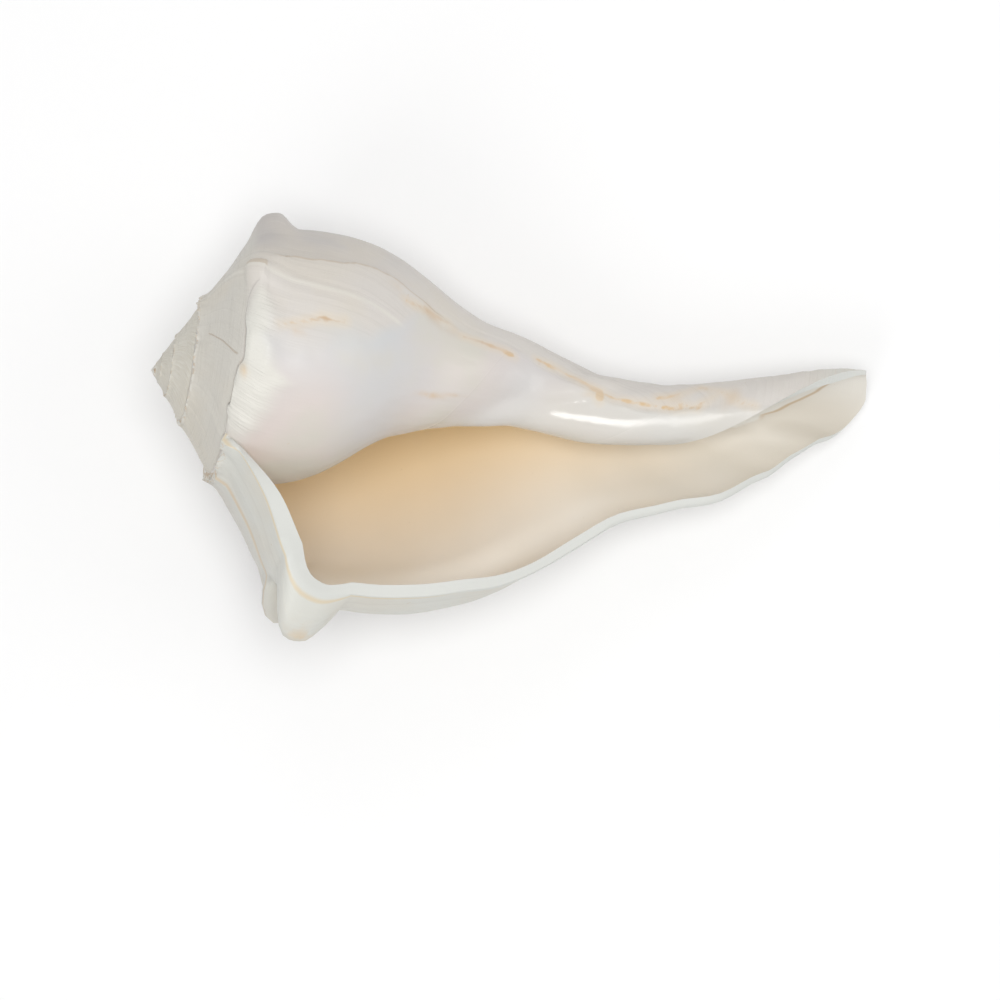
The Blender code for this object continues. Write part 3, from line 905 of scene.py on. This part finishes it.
class Value:
    """A number that varies over the surface: +, - and * make the material's math nodes."""

    def __init__(self, nodes, socket):
        self.nodes = nodes
        self.socket = socket

    def __add__(self, other):
        return self.nodes.math("ADD", self, other)

    def __sub__(self, other):
        return self.nodes.math("SUBTRACT", self, other)

    def __rsub__(self, other):
        return self.nodes.math("SUBTRACT", other, self)

    def __mul__(self, other):
        return self.nodes.math("MULTIPLY", self, other)

    __radd__ = __add__
    __rmul__ = __mul__


class Nodes:
    """Short calls for the nodes of one material."""

    def __init__(self, material):
        self.tree = material.node_tree
        self.surface = self.tree.nodes["Principled BSDF"]

    def link(self, value, socket):
        self.tree.links.new(value.socket if isinstance(value, Value) else value, socket)

    def add(self, kind, inputs, **settings):
        node = self.tree.nodes.new("ShaderNode" + kind)
        for name, value in settings.items():
            setattr(node, name, value)
        for key, value in inputs.items():
            if isinstance(value, (Value, bpy.types.NodeSocket)):
                self.link(value, node.inputs[key])
            else:
                node.inputs[key].default_value = value
        return node

    def attribute(self, name):
        return Value(self, self.add("Attribute", {}, attribute_name=name).outputs["Fac"])

    def math(self, operation, *values):
        return Value(self, self.add("Math", dict(enumerate(values)), operation=operation).outputs[0])

    def ramp(self, value, low, high, shape="LINEAR"):
        """A ramp from 0 at low to 1 at high."""
        inputs = {"Value": value, "From Min": low, "From Max": high}
        return Value(self, self.add("MapRange", inputs, interpolation_type=shape).outputs["Result"])

    def step(self, value, low, high):
        """A smooth step from 0 at low to 1 at high."""
        return self.ramp(value, low, high, "SMOOTHSTEP")

    def line(self, value, place, half_width):
        """1 where the value is at this place, falling to 0 at the half width."""
        return self.step(self.math("ABSOLUTE", value - place), half_width, 0.0)

    def mix(self, share, first, second):
        return Value(self, self.add("Mix", {0: share, 2: first, 3: second}, data_type="FLOAT").outputs[0])

    def blend(self, share, first, second):
        """A blend of two colours, each a socket or a colour as it looks on a screen."""
        first, second = (srgb(*colour) if isinstance(colour, tuple) else colour for colour in (first, second))
        return self.add("Mix", {0: share, 6: first, 7: second}, data_type="RGBA").outputs[2]

    def layers(self, colour, *coats):
        """This colour under coats of other ones, each a share and a colour, laid on in turn."""
        for share, coat in coats:
            colour = self.blend(share, colour, coat)
        return colour

    def place(self, across, down):
        return self.add("CombineXYZ", {0: across, 1: down}).outputs[0]

    def noise(self, vector, scale, detail=2.0, roughness=0.5):
        inputs = {"Vector": vector, "Scale": scale, "Detail": detail, "Roughness": roughness}
        return Value(self, self.add("TexNoise", inputs).outputs["Fac"])

    def ragged(self, value, noise, reach):
        """The value, shifted to and fro by a noise over this reach."""
        return value + (noise - 0.5) * reach

    def bump(self, height, distance, strength):
        inputs = {"Height": height, "Distance": distance, "Strength": strength}
        return self.add("Bump", inputs).outputs["Normal"]


class ShellLook(Nodes):
    """The shell's material: the textures and masks that its parts share, and a method for each part."""

    def __init__(self, material):
        super().__init__(material)
        self.side, self.growth, self.along = map(self.attribute, ("side", "growth", "along"))
        self.glaze_turn, self.halt_turn = map(self.attribute, ("glaze_turn", "halt_turn"))
        self.patch_left, self.patch_right = map(self.attribute, ("patch_left", "patch_right"))
        self.point = self.add("TexCoord", {}).outputs["Object"]
        self.inside = self.step(self.side, *INSIDE_STEP)
        self.rim = self.step(self.side, *RIM_STEP) - self.inside
        self.outside = self.step(self.side, *RIM_STEP[::-1])
        self.make_textures()
        self.make_masks()
        self.crack_line = self.crack()

    def turns(self, low, high):
        """A smooth step between two turns of growth."""
        return self.step(self.growth, low, high)

    def down(self, low, high):
        """A smooth step between two distances along the outline."""
        return self.step(self.along, low, high)

    def make_textures(self):
        """Blotches, growth lines that follow the lip, and spiral threads across them."""
        self.blotch = self.noise(self.point, BLOTCH_SCALE, 3.0, 0.55)
        self.speckle = self.noise(self.point, SPECKLE_SCALE, 3.0, 0.6)
        self.crumb = self.noise(self.point, CRUMB_SCALE)
        self.cloud = self.noise(self.point, CLOUD_SCALE)
        warped = self.growth + 5.0 * self.blotch
        self.broad_lines = self.noise(self.place(warped, 0.03 * self.along), 0.32, 3.0, 0.6)
        self.fine_lines = self.noise(self.place(warped, 0.05 * self.along), 1.5, 3.0, 0.6)
        self.threads = self.noise(self.place(0.016 * self.growth, self.along), 1.7, 3.0, 0.6)

    def make_masks(self):
        """The glaze, its thick patch, the newer shell beyond the long growth halt, and the suture."""
        ragged_turn = self.ragged(self.glaze_turn, self.blotch, 46.0)
        ragged_right = self.ragged(self.patch_right, self.blotch, 9.0)
        ledge = self.step(self.patch_left, -0.25, 0.25) * self.outside
        upper = self.turns(-255.5, -257.5) * self.turns(-345.0, -322.0)
        self.on_glaze = self.step(ragged_turn, -5.0, 9.0) * self.outside
        self.glaze = self.on_glaze * ledge
        self.patch = self.step(ragged_right, -4.0, 4.0) * ledge * upper
        self.past_column = self.down(28.5, 31.5)
        soft_halt, sharp_halt = self.step(self.halt_turn, -9.0, 9.0), self.step(self.halt_turn, -0.4, 0.8)
        self.newer = self.mix(self.past_column, soft_halt, sharp_halt)
        self.front = self.turns(-300.0, -262.0) * self.turns(-170.0, -200.0)
        self.slope = self.down(25.5, 21.0)
        self.behind_lip = self.turns(-25.0, -60.0)
        self.at_suture = self.down(2.2, 0.9) * self.outside

    def crack(self):
        """The hairline crack on the upper slope, which sags between its ends."""
        start, end = CRACK_ALONG
        share = self.ramp(self.along, start, end)
        turn = self.ragged(self.growth, self.noise(self.point, PATCHY_SCALE), 2.4)
        turn = turn + CRACK_SAG * (share * (1.0 - share))
        span = self.down(start, start + 1) * self.down(end, end - 1)
        return self.line(turn, CRACK_TURN, 0.8) * span * self.outside

    def bare_outside(self):
        """Grey mauve on the newer shell at the top, grey beige before the halt, bluish beside the lip, and a
        painted highlight on the raised growth halt across the front.
        """
        mauve = self.newer * self.down(85.0, 35.0)
        threads = self.step(self.threads, 0.5, 0.72) * (0.3 * self.slope + 0.05) * self.behind_lip
        spire_streaks = self.turns(-560.0, -640.0) * self.step(self.fine_lines, 0.45, 0.6)
        halt_line = self.line(self.halt_turn, 0.0, 1.1) * self.past_column
        old_lip = self.line(self.growth, OLD_LIP_TURN, 1.3) * (0.42 * self.down(29.0, 26.0) + 0.08)
        # Painted highlight: a pale line along the raised growth halt across the front
        ridge_highlight = self.line(self.ragged(self.growth, self.blotch, 5.0), FRONT_RIDGE_TURN, 2.2) * self.front
        return self.layers(
            (212, 207, 201),
            (mauve, (192, 187, 183)),
            (0.8 * self.slope, (208, 205, 196)),
            (self.turns(-55.0, -12.0), (212, 212, 205)),
            (self.turns(-330.0, -420.0), (209, 204, 191)),
            (0.35 * self.step(self.blotch, 0.42, 0.66), (214, 205, 188)),
            (0.22 * self.step(self.broad_lines, 0.52, 0.74), (184, 178, 170)),
            (0.2 * self.step(self.fine_lines, 0.52, 0.7), (223, 219, 209)),
            (threads, (185, 181, 171)),
            (0.55 * spire_streaks, (226, 224, 216)),
            (0.45 * halt_line, (188, 166, 138)),
            (old_lip, (205, 176, 132)),
            # The painted highlight along the raised growth halt across the front
            (0.5 * ridge_highlight, (226, 223, 213)),
        )

    def porcelain(self):
        """The glaze's colour: off-white, with rosy and bluish clouds."""
        return self.layers(
            (204, 206, 207),
            (self.step(self.cloud, 0.35, 0.65), (216, 205, 199)),
            (self.step(self.blotch, 0.4, 0.7), (210, 206, 196)),
            (0.7 * self.down(105.0, 150.0), (216, 213, 205)),
            (0.85 * self.patch, (221, 219, 210)),
        )

    def inner_wall(self):
        """Tan deep in the mouth, paler towards the lip and in the canal, where glaze rolls over."""
        canal_turn = self.attribute("canal_turn")
        canal = self.down(82.0, 140.0)
        rolled_edge = self.line(canal_turn, 0.0, 2.6) * self.down(140.0, 156.0)
        cloudy = self.step(self.noise(self.point, INNER_CLOUD_SCALE), 0.4, 0.7) * (1.0 - canal)
        return self.layers(
            (254, 248, 237),
            (self.turns(-16.0, -112.0), (247, 214, 158)),
            (canal, (209, 202, 189)),
            (self.down(160.0, 190.0), (225, 221, 212)),
            (0.9 * self.step(canal_turn, -1.5, 2.5), (219, 216, 208)),
            (0.75 * rolled_edge, (186, 158, 120)),
            (0.3 * cloudy, (240, 224, 196)),
        )

    def suture_coats(self):
        """Pale crumbs at the suture, with brown shadows between them."""
        seam = self.line(self.along, 0.0, 0.9) * self.outside * self.turns(-24.0, -44.0)
        crumbs = self.step(self.crumb, 0.5, 0.56) * self.at_suture
        gaps = self.line(self.crumb, 0.46, 0.035) * self.at_suture
        return (seam, (190, 172, 148)), (crumbs, (224, 221, 212)), (0.6 * gaps, (205, 168, 118))

    def mark_coats(self):
        """Stains, veins with a halo, the crack, the break of the column, and specks."""
        stain, vein = self.attribute("stain"), self.attribute("vein")
        ochre = self.blend(self.step(self.blotch, 0.4, 0.6), (214, 177, 120), (192, 159, 122))
        blurred = stain * self.step(self.noise(self.point, STAIN_SCALE, 3.0), 0.35, 0.6)
        wobble = self.ragged(vein, self.noise(self.point, VEIN_SCALE, 3.0), 2.2)
        patchy = 0.5 * self.step(self.noise(self.point, PATCHY_SCALE), 0.4, 0.62) + 0.2
        across = self.step(self.line(self.along, COLUMN_ALONG, COLUMN_HALF_WIDTH), 0.1, 0.3)
        lengthwise = self.turns(-250.7, -249.9) * self.turns(-246.0, -247.4)
        return (
            (0.7 * blurred, ochre),
            (0.3 * self.step(wobble, 2.6, 0.0), (226, 206, 176)),
            (self.step(wobble, 0.5, -0.2) * patchy, ochre),
            (0.5 * self.crack_line, (174, 150, 122)),
            (0.6 * (lengthwise * across * self.outside), (188, 172, 150)),
            (0.4 * self.step(self.speckle, 0.72, 0.78), (196, 172, 138)),
        )

    def colour(self):
        """All coats of colour in turn. The rim has a yellowish line along its outer edge."""
        ledge_shadow = self.line(self.patch_left, -0.35, 0.45) * self.on_glaze
        edge_line = self.line(self.side, 1.08, 0.13) * self.down(60.0, 40.0)
        return self.layers(
            self.bare_outside(),
            (self.glaze, self.porcelain()),
            (0.35 * ledge_shadow, (176, 164, 146)),
            (self.inside, self.inner_wall()),
            (self.rim, (212, 213, 208)),
            (0.6 * edge_line, (214, 192, 150)),
            *self.suture_coats(),
            *self.mark_coats(),
        )

    def roughness(self):
        """Satin outside, glassy on the glaze and inside, most of all on the columella."""
        columella = self.down(86.0, 124.0) * self.down(178.0, 160.0) * self.outside
        satin = 0.14 * self.speckle + 0.42
        glassy = 0.2 * self.cloud + 0.26 + 0.08 * self.inside - 0.22 * columella
        shiny = self.math("MAXIMUM", self.glaze - self.patch * self.glaze, self.inside)
        return self.mix(shiny, satin, glassy)

    def fine_relief(self):
        """The height of lines, threads, the glaze's ribs, waves and ledge, the crumbs and the crack."""
        bare_share = self.math("MAXIMUM", 1.0 - self.glaze - 0.85 * self.inside, 0.05)
        lines = self.fine_lines * (0.55 - 0.35 * self.front)
        threads = self.threads * (0.4 * (self.slope * self.behind_lip) + 0.1)
        ridged = 0.5 * self.broad_lines * self.front * self.step(self.halt_turn, 0.5, -0.5)
        ribs = self.noise(self.place(self.growth, 0.14 * self.along), 0.85, 3.0)
        ribbed = 0.9 * self.patch + 0.12 * self.glaze * self.down(60.0, 36.0)
        waves = self.noise(self.point, WAVE_SCALE) * self.glaze * self.down(90.0, 120.0)
        ledge = self.step(self.patch_left, -0.3, 0.3) * self.on_glaze
        crumbs = 1.2 * self.crumb * self.at_suture
        bare = (lines + threads + ridged) * bare_share
        return bare + ribs * ribbed + 1.3 * waves + ledge + crumbs - 0.5 * self.crack_line


def shell_material():
    material = principled("shell", (0.75, 0.72, 0.66), 0.35)
    look = ShellLook(material)
    look.link(look.colour(), look.surface.inputs["Base Color"])
    look.link(look.roughness(), look.surface.inputs["Roughness"])
    normal = look.bump(look.fine_relief(), BUMP_DISTANCE, BUMP_STRENGTH)
    look.link(normal, look.surface.inputs["Normal"])
    return material


def in_scene(name, data):
    """A new object with this data, linked to the scene."""
    made = bpy.data.objects.new(name, data)
    bpy.context.scene.collection.objects.link(made)
    return made


def build_shell():
    points, faces, places = grown_shell()
    data = bpy.data.meshes.new("whelk_shell")
    data.from_pydata(in_frame(points), [], [face.tolist() for face in faces])
    side, growth, along = places.T
    attributes = {"side": side, "growth": growth, "along": along, **markings(side, growth, along)}
    for name, values in attributes.items():
        data.attributes.new(name, "FLOAT", "CORNER").data.foreach_set("value", values.astype(np.float32))
    data.shade_smooth()
    data.set_sharp_from_angle(angle=math.radians(SHARP_ANGLE))
    data.materials.append(shell_material())
    return in_scene("whelk_shell", data)


def build_floor():
    half = FLOOR_SIZE / 2
    data = bpy.data.meshes.new("floor")
    corners = [(-half, -half, 0), (half, -half, 0), (half, half, 0), (-half, half, 0)]
    data.from_pydata(corners, [], [(0, 1, 2, 3)])
    data.materials.append(principled("floor", FLOOR_COLOUR, 0.9))
    return in_scene("floor", data)


def build_lights(middle):
    world = bpy.data.worlds.new("studio")
    world.use_nodes = True
    world.node_tree.nodes["Background"].inputs["Color"].default_value = (1, 1, 1, 1)
    world.node_tree.nodes["Background"].inputs["Strength"].default_value = WORLD_STRENGTH
    bpy.context.scene.world = world
    for name, place, size, power in LIGHTS:
        light = bpy.data.lights.new(name, "AREA")
        light.shape = "DISK"
        light.size = size
        light.energy = power
        lamp = in_scene(name, light)
        lamp.location = place
        lamp.rotation_euler = (middle - lamp.location).to_track_quat("-Z", "Y").to_euler()


def build_camera():
    """The photograph's view: nearly from above, with the canal to the right."""
    tilt, lean = math.radians(AXIS_TILT), math.radians(AXIS_LEAN)
    right = np.array([math.cos(tilt) * math.cos(lean), math.sin(tilt), math.cos(tilt) * math.sin(lean)])
    toward = np.array([-math.sin(lean), 0, math.cos(lean)])
    up = np.cross(toward, right)
    place = -APEX_IN_VIEW[0] * right - APEX_IN_VIEW[1] * up + CAMERA_DISTANCE * toward
    axes = np.stack([right, up, toward]) @ REST_TURN.T
    place = (place @ REST_TURN.T + REST_SHIFT) * MM
    camera = in_scene("camera", bpy.data.cameras.new("camera"))
    camera.matrix_world = Matrix.Translation(place.tolist()) @ Matrix(axes.T.tolist()).to_4x4()
    camera.data.sensor_width = SENSOR
    camera.data.lens = SENSOR * CAMERA_DISTANCE / VIEW_WIDTH
    camera.data.clip_start = 0.01
    bpy.context.scene.camera = camera


def main():
    bpy.context.scene.view_settings.view_transform = "Standard"
    shell = build_shell()
    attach(shell, "root")
    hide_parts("shell")
    floor = build_floor()
    low, high = (Vector(corner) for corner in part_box("shell"))
    build_lights((low + high) / 2)
    build_camera()


main()
